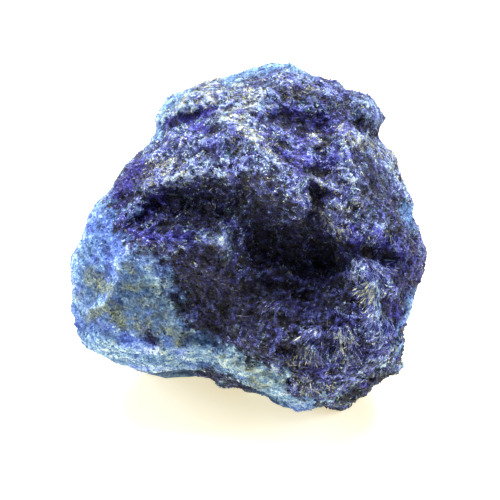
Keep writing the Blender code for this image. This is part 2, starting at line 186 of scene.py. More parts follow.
# Neighbouring crystals of one shade.
EVEN = [
    ([(-11.0, 18.0), (-4.0, 19.6), (2.0, 19.0)], 3.0, 0.95),
    ([(-3.0, 16.6), (1.0, 13.6)], 2.4, 0.6),
    ([(-6.4, -0.1), (-2.8, -1.1)], 1.5, 0.7),
    ([(-14.0, 11.0), (0.0, 12.0)], 2.4, 0.35),
    ([(14.0, 13.0), (18.6, 9.0), (18.0, 3.0)], 3.0, 0.65),
    ([(5.0, 20.6), (13.0, 18.6)], 3.0, 0.75),
    ([(15.6, 18.6), (17.4, 16.6)], 2.4, 0.9),
]
# Few pale tips: dull crystals, and painted shade in the hollow, under the brow and under the
# second crest's overhang.
DULL_AND_SHADED = [
    ([(-7.0, -4.5), (-3.0, -8.0), (-5.0, -12.0)], 3.4, 0.6),
    ([(2.0, -2.0), (9.0, -4.0)], 4.0, 0.3),
    ([(-2.4, -9.6), (3.8, -10.8)], 2.4, 0.7),
    ([(15.4, 15.2), (18.4, 14.2)], 0.6, 0.6),
    ([(-16.0, 9.6), (-17.8, 6.0)], 1.6, 0.7),
    ([(-0.6, -8.8), (8.4, -9.6)], 2.4, 0.9),
    ([(-12.2, 15.4), (-9.8, 15.8), (-7.0, 16.4), (-4.8, 17.3)], 0.6, 0.9),
    ([(9.6, -11.4), (12.0, -11.8)], 1.3, 0.7),
    ([(19.4, -2.6), (22.0, -2.0)], 1.8, 0.6),
    ([(4.8, 16.4), (9.0, 15.8)], 1.2, 0.5),
    ([(15.8, 7.6), (16.6, 4.6)], 1.4, 0.5),
    ([(5.0, -15.3), (6.0, -15.5)], 1.6, 0.7),
    ([(-0.8, 21.4), (1.6, 20.8)], 1.1, 0.45),
    ([(3.6, 15.8), (4.8, 15.2)], 1.0, 0.8),
    ([(6.4, 13.2), (7.6, 12.0)], 1.0, 0.8),
    ([(12.6, 16.0), (13.8, 15.0)], 1.0, 0.8),
    ([(-4.6, 9.6), (-3.0, 8.6)], 0.9, 0.5),
    ([(1.4, -9.8), (2.8, -9.6)], 1.0, 0.8),
    ([(8.6, -13.0), (9.6, -13.4)], 0.8, 0.8),
    ([(-15.2, 7.6), (-13.8, 7.0)], 0.8, 0.8),
    ([(20.0, 6.4), (20.6, 1.0)], 1.4, 0.3),
    ([(18.4, -9.0), (20.0, -10.6)], 1.1, 0.8),
]
# Clear violet or ultramarine azurite.
VIVID = [
    ([(-7.8, 14.7), (-6.2, 14.4)], 1.2, 0.8),
    ([(-12.2, 15.4), (-9.8, 15.8), (-7.0, 16.4), (-4.8, 17.3)], 0.7, 0.9),
    ([(3.0, 16.6), (9.4, 16.2)], 2.2, 0.5),
    ([(9.0, 15.2), (14.0, 15.0)], 1.0, 0.6),
    ([(1.6, 13.4), (4.6, 10.6), (7.0, 8.6)], 0.8, 0.6),
    ([(18.8, -4.0), (21.4, -8.0)], 1.6, 0.5),
    ([(19.6, -13.0), (19.0, -17.0)], 1.2, 0.5),
    ([(-8.6, 0.4), (-3.0, 1.0)], 1.0, 0.5),
    ([(3.0, 13.8), (7.0, 13.2)], 1.2, 0.6),
    ([(-15.4, 9.6), (-18.0, 6.0)], 2.2, 0.9),
    ([(8.6, 15.2), (12.8, 14.6)], 1.2, 0.7),
    ([(7.4, 9.0), (9.2, 6.6)], 1.0, 0.4),
    ([(19.0, -9.0), (20.6, -13.0)], 1.6, 0.5),
    ([(18.0, -19.0), (20.4, -17.6)], 1.4, 0.4),
    ([(-11.6, 13.4), (-7.0, 13.2), (-2.0, 13.4)], 1.6, 0.45),
    ([(6.0, 11.0), (9.0, 10.4), (13.0, 10.6)], 1.6, 0.6),
    ([(13.6, 0.4), (14.6, -1.4)], 1.0, 1.0),
    ([(17.0, 0.6), (18.4, -1.0)], 1.2, 0.8),
    ([(19.7, -9.8), (20.5, -11.6)], 0.9, 1.3),
    ([(-12.0, 4.6), (-16.0, 2.0)], 2.0, 0.7),
    ([(-16.0, 0.6), (-12.0, -0.4), (-7.6, 0.0)], 1.4, 0.8),
    ([(20.6, -1.6), (22.4, -5.0)], 1.8, 0.6),
    ([(-20.6, -12.6), (-17.0, -13.8), (-12.6, -15.0)], 1.2, 0.8),
    ([(8.6, -17.6), (9.6, -18.8)], 1.1, 0.7),
    ([(4.6, -9.0), (8.0, -10.0)], 1.4, 0.4),
    ([(12.0, -12.0), (14.0, -16.0)], 2.4, 0.5),
    ([(12.6, -21.6), (16.4, -19.4), (20.0, -16.4)], 1.6, 0.6),
]
# Many cream crystals.
CREAM = [
    ([(-13.4, 9.6), (-12.0, 9.2), (-9.0, 9.2)], 1.3, 1.1),
    ([(-10.9, 18.4), (-7.0, 19.6), (-2.1, 19.7), (0.8, 18.4)], 2.2, 0.9),
    ([(-4.6, 18.0), (-2.0, 15.8), (0.6, 13.0), (2.6, 11.6)], 1.5, 0.9),
    ([(12.4, 14.4), (14.0, 13.0), (17.6, 11.4)], 1.2, 1.0),
    ([(19.4, 12.6), (20.8, 8.0)], 1.0, 0.8),
    ([(11.0, 5.6), (13.6, 6.2), (15.0, 5.2)], 1.2, 0.8),
    ([(-15.0, 9.4), (-13.6, 7.4)], 1.2, 0.8),
    ([(-1.0, 8.2), (3.0, 6.2), (5.6, 4.6)], 1.2, 0.5),
    ([(8.8, 7.2), (11.8, 6.8)], 0.7, 0.9),
    ([(9.6, 2.4), (11.6, 1.0), (13.6, -0.2)], 1.0, 0.8),
    ([(11.4, 5.4), (13.4, 1.8)], 1.8, 0.4),
    ([(7.8, 5.2), (10.6, 2.4)], 1.2, 0.5),
    ([(4.4, 20.6), (8.6, 20.4)], 1.4, 0.5),
    ([(8.0, 13.4), (9.6, 12.8)], 1.0, 1.2),
    ([(14.6, -6.2), (16.6, -9.0)], 1.2, 0.6),
    ([(5.4, -14.4), (7.4, -20.4)], 1.5, 0.6),
    ([(11.4, -12.6), (12.4, -18.6)], 1.1, 0.4),
]
# Many crystals of a greenish blue, on a frosted skin.
TEAL = [
    ([(-6.8, 11.0), (0.6, 10.6), (3.6, 8.6)], 1.8, 0.8),
    ([(-3.6, 17.4), (-1.6, 16.0), (1.6, 12.6)], 2.2, 0.9),
    ([(-15.0, 11.8), (-11.8, 13.8), (-8.2, 15.0)], 1.2, 0.7),
    ([(-14.2, 6.8), (-9.0, 9.2), (0.6, 10.1)], 1.2, 0.6),
    ([(2.4, 15.6), (5.0, 13.0), (9.0, 12.4)], 1.6, 0.6),
    ([(-6.4, -0.1), (-2.8, -1.1)], 1.6, 0.9),
    ([(-10.9, 18.6), (-7.0, 19.9), (-2.1, 19.7), (1.7, 19.0)], 3.0, 1.6),
    ([(14.0, 13.4), (17.5, 12.0), (19.9, 8.5), (21.3, 5.0)], 2.2, 0.7),
    ([(14.0, 6.0), (16.6, 2.4)], 3.4, 0.9),
    ([(15.6, 18.6), (17.4, 16.6)], 2.2, 0.8),
    ([(5.0, 21.0), (11.0, 20.0)], 1.6, 0.6),
    ([(12.6, -22.6), (16.4, -20.8), (20.0, -17.6)], 1.8, 1.2),
    ([(17.0, -9.0), (17.6, -14.4)], 0.9, 0.8),
    ([(-14.4, 12.6), (-15.6, 10.0)], 1.4, 0.8),
    ([(1.0, 22.4), (6.0, 23.0)], 1.6, 0.5),
    ([(6.0, -11.0), (8.0, -15.0)], 2.4, 0.3),
]
# Yellowish stains on the rind.
STAINS = [
    ([(-21.7, -11.2), (-20.4, -10.6)], 1.1, 1.0),
    ([(-22.0, -5.8), (-19.6, -7.0)], 1.4, 0.9),
    ([(-23.6, -8.2), (-22.6, -8.6)], 1.2, 0.5),
    ([(-19.4, -9.8), (-17.4, -11.6)], 1.5, 0.8),
    ([(-15.0, -12.0), (-13.0, -12.6)], 1.6, 0.7),
    ([(-11.4, -12.4), (-9.2, -14.0)], 1.7, 0.8),
    ([(-16.6, -4.2), (-16.0, -5.2)], 0.8, 0.8),
    ([(-17.0, -6.8), (-15.0, -7.6)], 1.0, 0.7),
    ([(-15.4, -8.0), (-10.6, -9.6)], 3.0, 0.5),
    ([(-4.6, -16.4), (1.4, -18.8)], 1.1, 0.6),
    ([(0.4, -19.6), (2.0, -20.8)], 0.9, 0.9),
    ([(1.8, -18.6), (4.0, -20.0)], 0.8, 0.5),
]
# Rind of a clear cornflower blue, not a greenish one.
CORNFLOWER = [
    ([(-23.4, 3.0), (-20.0, 0.6), (-17.6, -2.4)], 3.0, 1.0),
    ([(-17.4, -2.8), (-18.6, -4.6), (-19.4, -7.0)], 1.4, 0.8),
    ([(-21.4, -11.8), (-17.6, -12.8), (-13.6, -14.8), (-9.8, -15.4)], 1.7, 1.0),
    ([(-17.0, -3.4), (-14.0, -3.6), (-12.0, -5.0)], 1.5, 0.8),
    ([(-11.0, -8.4), (-8.6, -11.6)], 1.4, 0.5),
    ([(-24.6, -6.0), (-24.4, -12.0)], 1.2, 0.5),
    ([(-16.0, -18.8), (-8.0, -18.4)], 1.0, 0.9),
    ([(6.0, -23.6), (10.4, -23.4), (13.0, -22.0)], 1.2, 0.9),
]


def path_distance(points, path):
    """The distance of each point from a path, and whether it lies on the path's left."""
    nearest = np.full(len(points), np.inf)
    left = np.zeros(len(points), bool)
    for start, end in zip(np.array(path[:-1]), np.array(path[1:])):
        along = end - start
        offset = points - start
        share = np.clip(offset @ along / (along @ along), 0.0, 1.0)
        away = np.linalg.norm(offset - share[:, None] * along, axis=1)
        closer = away < nearest
        nearest[closer] = away[closer]
        left[closer] = (along[0] * offset[:, 1] - along[1] * offset[:, 0] > 0)[closer]
    return nearest, left


def smooth_step(value):
    """0 below 0, 1 above 1, and a smooth rise between."""
    share = np.clip(value, 0.0, 1.0)
    return share * share * (3.0 - 2.0 * share)


def patches(face, zones):
    """The strongest of several soft-edged patches at each point, on the front only."""
    total = np.zeros(len(face))
    for path, reach, strength in zones:
        away, _left = path_distance(face[:, :2], path)
        total = np.maximum(total, strength * np.exp(-((away / reach) ** 2)))
    return total * smooth_step(face[:, 2] / 2.0 + 0.5)


def noise_at(points, size, seed, octaves=3):
    """Fractal noise about 0 at each point, with lumps of this size in millimetres."""
    shift = Vector((seed * 17.3, seed * 5.1, -seed * 9.7))
    rows = (points / size).tolist()
    return np.array([noise.fractal(Vector(row) + shift, 1.0, 2.0, octaves) for row in rows])


def rind_depth(points, face):
    """How far inside the rind each point lies, in millimetres, less than 0 in the crystals."""
    ragged = noise_at(points, 3.0, 1) * 1.6 + noise_at(points, 0.9, 2, 2) * 0.9
    away, left = path_distance(face[:, :2], RIND_EDGE)
    depth = np.where(left, -away, away) + ragged
    depth = np.maximum(depth, RIND_BEHIND - face[:, 2] + 2.0 * ragged)
    for path, reach in RIND_RIMS:
        away, _left = path_distance(face[:, :2], path)
        depth = np.maximum(depth, reach - away + 0.5 * ragged)
    for path, reach in RIND_GAPS:
        away, _left = path_distance(face[:, :2], path)
        depth = np.minimum(depth, away - reach + 0.5 * ragged)
    worn = smooth_step(5.0 * noise_at(points, 5.0, 13, 2) - 1.6)
    depth -= 9.0 * worn * smooth_step(-face[:, 2] / 4.0 - 1.8)
    mixed = patches(face, MIXED)
    return depth * (1.0 - mixed) + mixed * 3.0 * noise_at(points, 1.3, 6, 2)


def finish_masks(points):
    """The share of each finish at each point, from 0 to 1."""
    face = (points - FACE_MIDDLE) @ face_axes().T
    depth = rind_depth(points, face)
    blotches = noise_at(points, 2.2, 3)
    behind = smooth_step(-face[:, 2] / 4.0)
    masks = {
        "rind": depth / RIND_BLEND + 0.5,
        "bare": depth / 1.7 + 0.4,
        "frost_and_highlight": patches(face, FROSTED_AND_LIT) + 0.35 * blotches,
        "bleach_and_light": patches(face, BLEACHED_AND_LIT) + 0.35 * blotches,
        "dull_and_shaded": patches(face, DULL_AND_SHADED),
        "furrows": patches(face, FURROWED),
        "even": patches(face, EVEN),
        "vivid": patches(face, VIVID) + 0.25 * smooth_step(3.0 * blotches - 0.8),
        "stain": 0.9 * patches(face, STAINS) + 0.5 * noise_at(points, 1.2, 4) - 0.05
        + 0.8 * behind * noise_at(points, 4.0, 12),
        "cream": 0.3 + 0.6 * patches(face, CREAM) + 0.8 * noise_at(points, 1.3, 7),
        "teal": 0.44 + 0.5 * patches(face, TEAL) + 1.0 * noise_at(points, 1.6, 8),
        "tone": 0.6 * patches(face, CORNFLOWER) + 0.6 * noise_at(points, 2.4, 11),
        "clump": 0.5 + 0.8 * noise_at(points, 0.9, 9, 2),
    }
    return {name: smooth_step(values) for name, values in masks.items()}


# ---- The lump itself ---------------------------------------------------------------------

WELD_REACH = 0.00001    # metres between corners of the solid that are one
SKIN_VOXEL = 0.31       # mm between the skin's points
SKIN_SMOOTHING = 3      # passes that round off the coarse facets
FINE_TO = -3.0          # the skin is this fine down to here behind the outline's plane
SKIN_LEFT = 0.64        # the share of its triangles that stays
TUFTS = [(2.1, 0.3), (0.9, 0.22)]   # mm across the tufts of the crystal mat, and their height
CRUMBS = [(1.1, 0.16), (0.6, 0.1)]  # and of the rind's crumbs
FLAKE_HEIGHT = 0.25     # mm, of the rind's flaky layers
SEAT_HEIGHT = 0.8       # mm above the floor over which the relief fades in
PROUD_PASSES = 6        # how wide the surroundings are that a point is compared with
SKIN_MASKS = ("rind", "frost_and_highlight", "bleach_and_light", "vivid", "teal", "stain", "tone", "proud")


def vertex_array(mesh, attribute, scale=1.0):
    """A vertex attribute of three numbers as an array with one row for each vertex."""
    values = np.empty(len(mesh.vertices) * 3, np.float32)
    mesh.vertices.foreach_get(attribute, values)
    return values.reshape(-1, 3).astype(float) * scale


def write_mask(mesh, name, values):
    """Stores one number for each vertex, for the materials to read."""
    layer = mesh.attributes.new(name, "FLOAT", "POINT")
    layer.data.foreach_set("value", values.astype(np.float32))


def thinned_behind(mesh):
    """The same skin with fewer triangles behind the display face."""
    skin = bpy.data.objects.new("skin", mesh)
    bpy.context.scene.collection.objects.link(skin)
    face = (vertex_array(mesh, "co", 1.0 / MM) - FACE_MIDDLE) @ face_axes().T
    behind = skin.vertex_groups.new(name="behind")
    behind.add(np.flatnonzero(face[:, 2] < FINE_TO).tolist(), 1.0, "REPLACE")
    fewer = skin.modifiers.new("fewer behind", "DECIMATE")
    fewer.ratio = SKIN_LEFT
    fewer.vertex_group = behind.name
    graph = bpy.context.evaluated_depsgraph_get()
    thinned = bpy.data.meshes.new_from_object(skin.evaluated_get(graph))
    bpy.data.objects.remove(skin)
    return thinned


def fine_skin():
    """The lump's solid as an even, fine and slightly rounded mesh."""
    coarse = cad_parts[NODE].data.copy()
    solid = bpy.data.objects.new("coarse", coarse)
    bpy.context.scene.collection.objects.link(solid)
    weld = solid.modifiers.new("weld", "WELD")
    weld.merge_threshold = WELD_REACH
    remesh = solid.modifiers.new("even skin", "REMESH")
    remesh.mode = "VOXEL"
    remesh.voxel_size = SKIN_VOXEL * MM
    rounding = solid.modifiers.new("rounding", "SMOOTH")
    rounding.factor = 0.5
    rounding.iterations = SKIN_SMOOTHING
    graph = bpy.context.evaluated_depsgraph_get()
    skin = bpy.data.meshes.new_from_object(solid.evaluated_get(graph))
    bpy.data.objects.remove(solid)
    skin = thinned_behind(skin)
    skin.materials.clear()
    skin.name = "azurite_skin"
    return skin


def neighbour_mean(places, edges):
    """Each vertex's place averaged with those of its neighbours."""
    total = places.copy()
    share = np.ones(len(places))
    for here, there in (edges, edges[::-1]):
        np.add.at(total, here, places[there])
        np.add.at(share, here, 1.0)
    return total / share[:, None]


def proudness(mesh, passes):
    """From 0 in the pits to 1 on the ridges: how far a vertex stands out of its surroundings."""
    ends = np.empty(len(mesh.edges) * 2, np.int32)
    mesh.edges.foreach_get("vertices", ends)
    edges = ends.reshape(-1, 2).T
    points = vertex_array(mesh, "co", 1.0 / MM)
    around = points
    for _pass in range(passes):
        around = neighbour_mean(around, edges)
    out = ((points - around) * vertex_array(mesh, "normal")).sum(axis=1)
    return smooth_step(0.5 + out / (4.0 * out.std()))


def ridges_at(points, sizes):
    """Sharp ridges about 0, of several (size, height) in millimetres."""
    total = np.zeros(len(points))
    for size, height in sizes:
        total += height * np.array([
            noise.ridged_multi_fractal(Vector(row), 0.8, 2.2, 3, 1.0, 1.8) - 1.2
            for row in (points / size).tolist()
        ])
    return total


def roughen(mesh):
    """Raises the crystal mat's tufts and the rind's flaky layers on the skin."""
    points = vertex_array(mesh, "co", 1.0 / MM)
    normals = vertex_array(mesh, "normal")
    masks = finish_masks(points)
    layers = points @ np.array([(0.4, 0.0, 0.0), (0.0, 0.4, 0.0), (0.0, 0.0, 1.4)])
    crust = FLAKE_HEIGHT * noise_at(layers, 1.4, 5, 4) + ridges_at(points, CRUMBS)
    mat = (1.0 - masks["rind"]) * (1.0 + 0.8 * masks["furrows"])
    height = ridges_at(points, TUFTS) * mat + crust * masks["rind"]
    seat = smooth_step(points[:, 2] / SEAT_HEIGHT)
    points += normals * (height * seat)[:, None]
    mesh.vertices.foreach_set("co", (points * MM).astype(np.float32).ravel())
    mesh.update()
    # On the crystals this paints shade into the pits and light onto the ridges.
    masks["proud"] = proudness(mesh, PROUD_PASSES)
    for name in SKIN_MASKS:
        write_mask(mesh, name, masks[name])
    return masks


def add_piece(name, mesh, material):
    """A finished piece that rides with the specimen and stands for its solid."""
    mesh.materials.append(material)
    piece = bpy.data.objects.new(name, mesh)
    bpy.context.scene.collection.objects.link(piece)
    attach(piece, "root")
    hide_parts(NODE)


# ---- Crystals ----------------------------------------------------------------------------

SPRAY_SPACING = 1.7     # mm between the middles of neighbouring sprays
SPRAY_TRIES = 6000      # points of the skin that may become a middle
NEEDLE_SINK = 0.08      # mm of each needle's root that is below the skin
NEEDLE_SIZE = (0.42, 0.11)    # mm long and wide
NEEDLE_RISE = (-4.0, 34.0)    # degrees from the skin
FLOOR_GAP = 0.05        # mm that every tip stays above the floor
NEEDLES = 17600         # in each of four pieces
STRAY_HUES = 0.12       # how often a crystal differs from its clump

# A needle lies along x, from 0 to 1, and is thickest a third of the way up. A block is a cube.
NEEDLE = (
    np.array([(0, 0, 0), (0.35, 0.5, 0), (0.35, -0.25, 0.43), (0.35, -0.25, -0.43), (1, 0, 0)]),
    np.array([(0, 2, 1), (0, 3, 2), (0, 1, 3), (4, 1, 2), (4, 2, 3), (4, 3, 1)]),
)
SHARD = (
    np.array([(-0.5, -0.3, -0.3), (0.5, -0.2, -0.2), (0.0, 0.5, -0.2), (0.1, 0.0, 0.5)]),
    np.array([(0, 2, 1), (0, 1, 3), (1, 2, 3), (2, 0, 3)]),
)
BLOCK = (
    np.array([(x, y, z) for x in (-0.5, 0.5) for y in (-0.5, 0.5) for z in (-0.5, 0.5)]),
    np.array([
        (0, 1, 3), (0, 3, 2), (4, 6, 7), (4, 7, 5), (0, 4, 5), (0, 5, 1),
        (2, 3, 7), (2, 7, 6), (0, 2, 6), (0, 6, 4), (1, 5, 7), (1, 7, 3),
    ]),
)

# Fans of long fibres on the display face: (path of their roots, heading in degrees from the
# right towards up, how far the heading turns along the path, shortest and longest in mm, count,
# how pale they are, how many are cream).
FANS = [
    ([(12.0, -12.4), (13.4, -13.0)], 268, 40, (0.6, 1.9), 420, 0.42, 0.45),
    ([(11.4, -15.0), (14.0, -15.6)], 268, 50, (0.6, 1.8), 420, 0.42, 0.4),
    ([(8.0, -13.0), (9.6, -12.6)], 236, 50, (0.6, 1.7), 300, 0.45, 0.2),
    ([(7.0, -15.0), (9.0, -15.6)], 266, 50, (0.6, 1.8), 420, 0.42, 0.6),
    ([(15.6, -6.6), (17.0, -6.8)], 232, 60, (0.6, 1.8), 320, 0.5, 0.6),
    ([(16.4, -10.8), (18.6, -11.6)], 262, 40, (0.6, 1.8), 420, 0.48, 0.1),
    ([(7.4, -20.4), (10.6, -20.8)], 300, 60, (0.6, 1.8), 260, 0.45, 0.5),
    ([(13.6, -4.0), (15.6, -3.4), (17.6, -4.2)], 306, 60, (0.8, 2.2), 620, 0.5, 0.1),
    ([(16.4, -7.4), (17.0, -10.4)], 262, 30, (0.6, 1.8), 260, 0.55, 0.45),
    ([(2.0, -9.0), (6.3, -9.4), (11.4, -9.8)], 250, 70, (0.6, 1.6), 240, 0.25, 0.2),
    ([(7.0, 6.4), (8.6, 3.0)], 250, 60, (0.5, 1.2), 120, 0.4, 0.45),
    ([(9.6, 3.0), (11.6, 1.0), (15.0, 0.4), (20.0, 0.2)], 265, 40, (0.4, 1.2), 300, 0.35, 0.3),
    ([(20.4, 0.4), (23.2, -0.4)], 330, 30, (1.0, 2.4), 160, 0.35, 0.1),
    ([(20.8, -2.6), (21.8, -7.4)], 300, 40, (0.6, 1.6), 160, 0.2, 0.0),
    ([(11.0, -22.0), (15.6, -19.0), (18.6, -17.0), (20.0, -15.4)], 40, 10, (0.5, 1.3), 240,
     0.6, 0.1),
    ([(-15.4, 1.0), (-12.0, -0.6), (-8.0, -0.4)], 345, 30, (0.5, 1.6), 240, 0.4, 0.2),
    ([(-8.4, -3.0), (-2.0, -8.0), (0.0, -14.0)], 340, 60, (0.4, 1.0), 300, 0.08, 0.2),
    ([(-15.0, 6.0), (-8.0, 6.4), (0.0, 5.6)], 200, 60, (0.5, 1.2), 120, 0.12, 0.1),
]
FIBRE_WIDTH = 0.11      # mm
FIBRE_STEPS = 5         # points along a fibre
FIBRE_SPREAD = 14.0     # degrees that a fibre's heading differs from its fan's
FIBRE_BEND = 0.12       # radians that a fibre turns from root to tip
FIBRE_LIFT = 0.06       # mm that a fibre's middle stands off the skin
BAND_SIZE = 0.5         # mm across the light and dark bands in a fan

DRUSE_LINE = [(11.6, -23.2), (15.6, -21.2), (19.2, -18.4), (21.2, -14.8)]
DRUSE_REACH = 2.6       # mm either side of the line
DRUSE_BACK = -6.0       # and this far behind the outline's plane

# Grains: (shape, how many, mm across, the thinnest side as a share of that).
SPLINTERS = (SHARD, 31000, 0.26, 0.5)   # in each of two pieces
DRUSE_BLOCKS = (BLOCK, 3400, 0.3, 0.5)
RIND_CRUMBS = (SHARD, 14000, 0.36, 0.4)

PIECES_SPLIT = (3.0, 2.0)     # across and up, where the crystal mat's pieces meet


def spread_points(rng, mesh, weight, count):
    """Random places on the mesh, denser where the vertices' weight is higher."""
    mesh.calc_loop_triangles()
    corners = np.empty(len(mesh.loop_triangles) * 3, np.int32)
    mesh.loop_triangles.foreach_get("vertices", corners)
    corners = corners.reshape(-1, 3)
    places = vertex_array(mesh, "co", 1.0 / MM)[corners]
    sides = np.cross(places[:, 1] - places[:, 0], places[:, 2] - places[:, 0])
    chance = np.linalg.norm(sides, axis=1) * weight[corners].mean(axis=1)
    chosen = rng.choice(len(corners), count, p=chance / chance.sum())
    shares = rng.dirichlet((1.0, 1.0, 1.0), count)
    return corners[chosen], shares


def blend_corners(values, corners, shares):
    """A vertex quantity at places given by their triangles' corners and shares."""
    if values.ndim == 1:
        return (values[corners] * shares).sum(axis=1)
    return (values[corners] * shares[:, :, None]).sum(axis=1)


def masks_at(masks, corners, shares):
    """Every mask at places given by their triangles' corners and shares."""
    return {name: blend_corners(values, corners, shares) for name, values in masks.items()}


def unit(vectors):
    """The vectors at length one."""
    return vectors / np.maximum(np.linalg.norm(vectors, axis=-1, keepdims=True), 1e-9)


def frames_along(ways):
    """For each way, three axes as the rows of a matrix, the first along it."""
    helper = np.where(np.abs(ways[:, 2:3]) < 0.8, (0.0, 0.0, 1.0), (1.0, 0.0, 0.0))
    side = unit(np.cross(ways, helper))
    return np.stack((ways, side, np.cross(ways, side)), axis=1)


def copies(shape, places, frames, sizes):
    """The points and faces of many copies of a small shape, each with its own frame and size."""
    points, faces = shape
    turned = np.einsum("npi,nij->npj", points[None] * sizes[:, None], frames)
    first = np.arange(len(places))[:, None, None] * len(points)
    return turned + places[:, None], (faces[None] + first).reshape(-1, 3)


def add_bake_map(mesh, points_each):
    """Lays each crystal out in a cell of its own on the map that its colours are baked to."""
    side = math.ceil(math.sqrt(len(mesh.vertices) // points_each))
    vertex = np.empty(len(mesh.loops), np.int32)
    mesh.loops.foreach_get("vertex_index", vertex)
    crystal, point = np.divmod(vertex, points_each)
    turn = 2.0 * math.pi * point / points_each
    across = (crystal % side + 0.5 + 0.35 * np.cos(turn)) / side
    up = (crystal // side + 0.5 + 0.35 * np.sin(turn)) / side
    layer = mesh.uv_layers.new(name="OFBake")
    layer.uv.foreach_set("vector", np.column_stack((across, up)).astype(np.float32).ravel())


def crystal_piece(name, points, faces, shades, material):
    """One piece of many crystals, whose shades are numbers for each crystal."""
    points_each = points.shape[1]
    mesh = bpy.data.meshes.new(name)
    mesh.from_pydata(points.reshape(-1, 3) * MM, [], faces)
    for mask, values in shades.items():
        write_mask(mesh, mask, np.repeat(np.clip(values, 0.0, 1.0), points_each))
    add_bake_map(mesh, points_each)
    add_piece(name, mesh, material)


def spray_middles(rng, points):
    """The middles of the sprays, no two nearer than their spacing."""
    kept = []
    tree = {}
    for index in rng.permutation(len(points))[:SPRAY_TRIES]:
        place = points[index]
        cell = tuple(np.floor(place / SPRAY_SPACING).astype(int))
        near = [
            other
            for dx in (-1, 0, 1) for dy in (-1, 0, 1) for dz in (-1, 0, 1)
            for other in tree.get((cell[0] + dx, cell[1] + dy, cell[2] + dz), [])
        ]
        if all(np.linalg.norm(place - other) > SPRAY_SPACING for other in near):
            kept.append(place)
            tree.setdefault(cell, []).append(place)
    return np.array(kept)


def nearest_middles(places, middles):
    """The spray middle nearest to each place."""
    tree = kdtree.KDTree(len(middles))
    for index, middle in enumerate(middles):
        tree.insert(middle, index)
    tree.balance()
    return middles[[tree.find(place)[1] for place in places]]


def pick_hues(rng, cream, teal):
    """Each crystal's family, mostly that of its clump: 0 lilac, 0.5 a greenish blue, 1 cream."""
    stray = rng.normal(0.0, STRAY_HUES, (2, len(cream)))
    return np.where(cream + stray[0] > 0.7, 1.0, np.where(teal + stray[1] > 0.6, 0.5, 0.0))


def crystal_shades(rng, masks, corners, shares):
    """The tint, from black to white, the hue and the clearness of crystals on the skin."""
    here = masks_at(masks, corners, shares)
    chance = rng.random((2, len(corners)))
    spread = 1.0 - 0.85 * here["even"]
    tint = 0.7 * spread * chance[0] ** 2.8 + 0.4 * (here["clump"] - 0.5)
    # Painted shade: crystals in the skin's pits are darker and those on its ridges lighter.
    tint += 0.45 * (1.0 - 0.5 * here["even"]) * (here["proud"] - 0.5) + 0.36 * here["even"]
    # Paler where frosted, in part a painted highlight.
    tint += here["frost_and_highlight"] * (0.2 + 0.35 * spread * chance[1])
    # Darker where dull, in part painted shade in the hollows and under overhangs.
    tint *= 1.0 - 0.6 * here["dull_and_shaded"]
    hue = pick_hues(rng, here["cream"], here["teal"])
    hue[here["vivid"] > 0.8] = 0.0
    return {"tint": tint, "hue": hue, "vivid": here["vivid"] * (hue < 0.2)}


def druse_shades(rng, masks, corners, shares):
    """The shades of the darker crystals of the druse."""
    shades = crystal_shades(rng, masks, corners, shares)
    return shades | {"tint": 0.04 + 0.6 * shades["tint"], "vivid": 0.5 * shades["vivid"]}


def rind_shades(rng, masks, corners, shares):
    """The tint, the stain and the tone of crumbs of rind."""
    here = masks_at(masks, corners, shares)
    # Paler where bleached, and painted light on the lip's shaded underside.
    tint = 0.1 + 0.6 * rng.random(len(corners)) ** 1.3 + 0.3 * here["bleach_and_light"]
    tint += 0.3 * (here["proud"] - 0.5)
    return {"tint": tint, "stain": here["stain"], "tone": here["tone"]}


def needle_piece(name, rng, skin, weight, masks, middles, material):
    """One piece of many needles, spread over the skin by weight and rising in sprays."""
    corners, shares = spread_points(rng, skin, weight, NEEDLES)
    places = blend_corners(vertex_array(skin, "co", 1.0 / MM), corners, shares)
    out = unit(blend_corners(vertex_array(skin, "normal"), corners, shares))
    away = places - nearest_middles(places, middles)
    away += rng.normal(0.0, 0.5, away.shape)
    away = unit(away - out * (away * out).sum(axis=1)[:, None])
    rise = np.radians(rng.uniform(*NEEDLE_RISE, NEEDLES))
    ways = away * np.cos(rise)[:, None] + out * np.sin(rise)[:, None]
    lengths = NEEDLE_SIZE[0] * rng.lognormal(0.0, 0.32, NEEDLES)
    widths = NEEDLE_SIZE[1] * rng.uniform(0.7, 1.3, NEEDLES)
    kept = (places + ways * lengths[:, None])[:, 2] > FLOOR_GAP
    sizes = np.column_stack((lengths, widths, widths))[kept]
    points, faces = copies(
        NEEDLE, (places - out * NEEDLE_SINK)[kept], frames_along(ways[kept]), sizes,
    )
    shades = crystal_shades(rng, masks, corners[kept], shares[kept])
    crystal_piece(name, points, faces, shades, material)


def grain_piece(name, rng, skin, weight, masks, grains, shades_of, material):
    """One piece of many grains, half sunk in the skin and turned every way."""
    shape, count, size, flatness = grains
    corners, shares = spread_points(rng, skin, weight, count)
    places = blend_corners(vertex_array(skin, "co", 1.0 / MM), corners, shares)
    sizes = size * rng.lognormal(0.0, 0.35, (count, 1)) * rng.uniform(flatness, 1.0, (count, 3))
    kept = places[:, 2] > sizes.max(axis=1)
    points, faces = copies(
        shape, places[kept], frames_along(unit(rng.normal(size=(kept.sum(), 3)))), sizes[kept],
    )
    shades = shades_of(rng, masks, corners[kept], shares[kept])
    crystal_piece(name, points, faces, shades, material)


def along_path(path, shares):
    """Points at shares of the way along a path."""
    path = np.array(path)
    reached = np.concatenate(([0.0], np.cumsum(np.linalg.norm(np.diff(path, axis=0), axis=1))))
    return np.column_stack([
        np.interp(shares * reached[-1], reached, path[:, axis]) for axis in (0, 1)
    ])


def on_display_face(tree, spots):
    """Where the skin lies at (across, up) spots of the display face, in millimetres."""
    right, up, out = face_axes()
    starts = FACE_MIDDLE + spots[:, :1] * right + spots[:, 1:] * up + 60.0 * out
    hits = [tree.ray_cast(Vector(start), Vector(-out))[0] for start in starts]
    return np.array([hit or (np.nan, np.nan, np.nan) for hit in hits])


